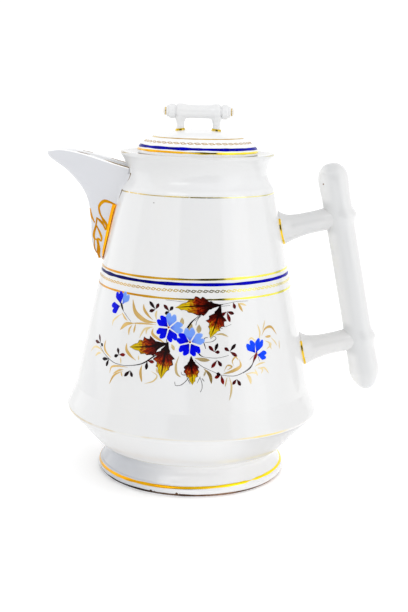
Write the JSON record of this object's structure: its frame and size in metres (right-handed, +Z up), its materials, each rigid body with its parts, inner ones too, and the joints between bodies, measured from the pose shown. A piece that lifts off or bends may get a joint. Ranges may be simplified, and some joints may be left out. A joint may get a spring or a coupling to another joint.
{
  "type": "coffee pot",
  "caption": "Tapering glazed porcelain coffee pot with a beaked pouring spout, a straight stick handle on arms and a lift-off domed lid with a bar knob.",
  "frame": {"origin": "middle of the whole outline, on the surface that the pot stands on", "axes": "+Z up along the pot's own axis, +X towards the handle, -X towards the spout"},
  "size_m": [0.2132, 0.16, 0.2323],
  "materials": {
    "porcelain": "clear glossy glaze over white porcelain",
    "bare_foot": "unglazed ground edge, stained tan",
    "gilding": "burnished gold, worn on the edges",
    "blue_enamel": "cobalt blue band, glossy",
    "flower_enamel": "painted sprig in blue, rust and ochre enamels, glossy"
  },
  "bodies": {
    "pot": {"foot_ring": "porcelain", "lower_bowl": "porcelain", "body_cone": "porcelain", "neck_collar": "porcelain", "spout": "porcelain", "handle_grip": "porcelain", "handle_upper_arm": "porcelain", "handle_lower_arm": "porcelain"},
    "lid": {"lid_dome": "porcelain", "lid_flange": "porcelain", "knob_post_left": "porcelain", "knob_post_right": "porcelain", "knob_bar": "porcelain"}
  },
  "joints": [
    {"name": "lid_lift", "type": "slide", "parent": "pot", "child": "lid", "axis": [0, 0, 1], "range_m": [0, 0.06]}
  ]
}
